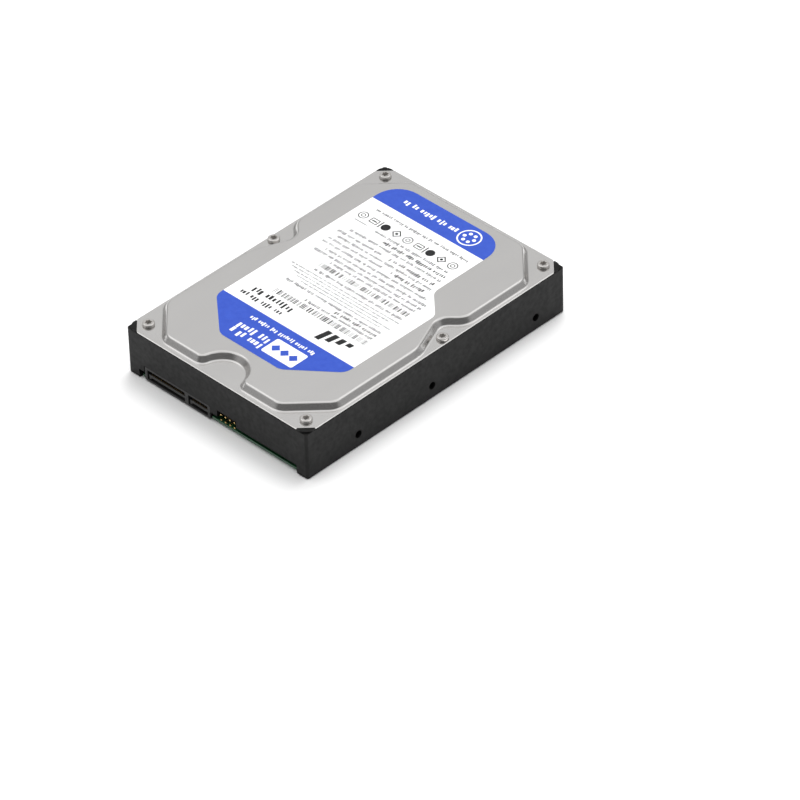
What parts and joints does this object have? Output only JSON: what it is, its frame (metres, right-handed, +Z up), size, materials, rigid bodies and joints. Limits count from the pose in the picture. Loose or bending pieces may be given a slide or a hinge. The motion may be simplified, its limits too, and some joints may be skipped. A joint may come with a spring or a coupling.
{
  "type": "hard disk drive",
  "caption": "Bare 3.5-inch hard disk drive: black casting, raised warm-grey cover with a printed label, circuit board below, disks and head actuator inside.",
  "frame": {"origin": "middle of the underside, in the plane of the two side rails", "axes": "+Z up out of the cover, +Y from the connector end to the far end, +X to the right seen from the connector end"},
  "size_m": [0.1016, 0.147, 0.0261],
  "materials": {
    "casting_black": "black electrocoated, satin",
    "cover_grey": "satin warm grey",
    "gasket_rubber": "matte",
    "screw_steel": "zinc plated",
    "label_paper": "satin printed film",
    "board_green": "solder mask over glass-fibre laminate",
    "chip_black": "moulded epoxy",
    "component_tan": "fired ceramic with tinned ends",
    "foam_grey": "soft foam",
    "connector_black": "glass-filled polymer",
    "contact_gold": "gold plated",
    "circuit_amber": "polyimide film",
    "filter_white": "non-woven filter",
    "machined_aluminium": "machined",
    "bearing_steel": "ground",
    "lamination_steel": "stacked sheets, coated",
    "copper_wire": "enamelled copper",
    "magnet_nickel": "nickel plated",
    "magnet_grey": "bonded magnet",
    "platter_mirror": "polished, sputtered",
    "yoke_plated": "nickel plated steel",
    "spring_steel": "etched stainless",
    "slider_dark": "sintered ceramic",
    "mould_black": "glass-filled polymer",
    "stop_amber": "urethane",
    "ramp_white": "low-wear polymer"
  },
  "bodies": {
    "base": {"base_casting": "casting_black", "bearing_inner_rings": "bearing_steel", "bearing_sleeve": "bearing_steel", "board_components": "component_tan", "board_screws": "screw_steel", "breather_filter": "filter_white", "circuit_board": "board_green", "connector_contacts": "contact_gold", "controller_chip": "chip_black", "crash_stops": "stop_amber", "flex_bracket": "mould_black", "flex_circuit": "circuit_amber", "head_connector": "connector_black", "insulating_foam": "foam_grey", "jumper_block": "connector_black", "jumper_pins": "contact_gold", "latch_pin": "bearing_steel", "lower_magnet": "magnet_nickel", "lower_yoke": "yoke_plated", "memory_chip": "chip_black", "motor_base": "machined_aluminium", "motor_circuit": "circuit_amber", "motor_contact_block": "connector_black", "motor_driver_chip": "chip_black", "motor_screws": "screw_steel", "parking_ramp": "ramp_white", "pivot_shaft": "bearing_steel", "ramp_screw": "screw_steel", "recirculation_filter": "filter_white", "signal_power_connector": "connector_black", "stator_coils": "copper_wire", "stator_core": "lamination_steel", "upper_magnet": "magnet_nickel", "upper_yoke": "yoke_plated", "yoke_posts": "yoke_plated", "yoke_screws": "screw_steel"},
    "spindle": {"spindle_hub": "machined_aluminium", "spindle_shaft": "bearing_steel", "rotor_magnet": "magnet_grey", "platter_1": "platter_mirror", "platter_2": "platter_mirror", "platter_3": "platter_mirror", "platter_spacers": "machined_aluminium", "disk_clamp": "machined_aluminium", "clamp_screws": "screw_steel"},
    "actuator": {"arm_block": "machined_aluminium", "head_suspensions": "spring_steel", "head_sliders": "slider_dark", "voice_coil": "copper_wire", "coil_moulding": "mould_black", "bearing_cartridge": "bearing_steel", "bearing_balls": "bearing_steel", "arm_circuit": "circuit_amber", "preamplifier": "chip_black"},
    "latch": {"latch_lever": "mould_black"},
    "cover": {"top_cover": "cover_grey", "cover_gasket": "gasket_rubber", "cover_screws": "screw_steel", "pivot_screw": "screw_steel", "drive_label": "label_paper"}
  },
  "joints": [
    {"name": "spindle_spin", "type": "hinge", "parent": "base", "child": "spindle", "pos_m": [0, 0.0223, 0.012], "axis": [0, 0, 1], "continuous": true},
    {"name": "actuator_swing", "type": "hinge", "parent": "base", "child": "actuator", "pos_m": [0.014, -0.034, 0.0149], "axis": [0, 0, -1], "range_deg": [0, 35]},
    {"name": "latch_swing", "type": "hinge", "parent": "base", "child": "latch", "pos_m": [0.04186, -0.05279, 0.0146], "axis": [0, 0, -1], "range_deg": [0, 16]},
    {"name": "cover_lift", "type": "slide", "parent": "base", "child": "cover", "axis": [0, 0, 1], "range_m": [0, 0.075]}
  ]
}
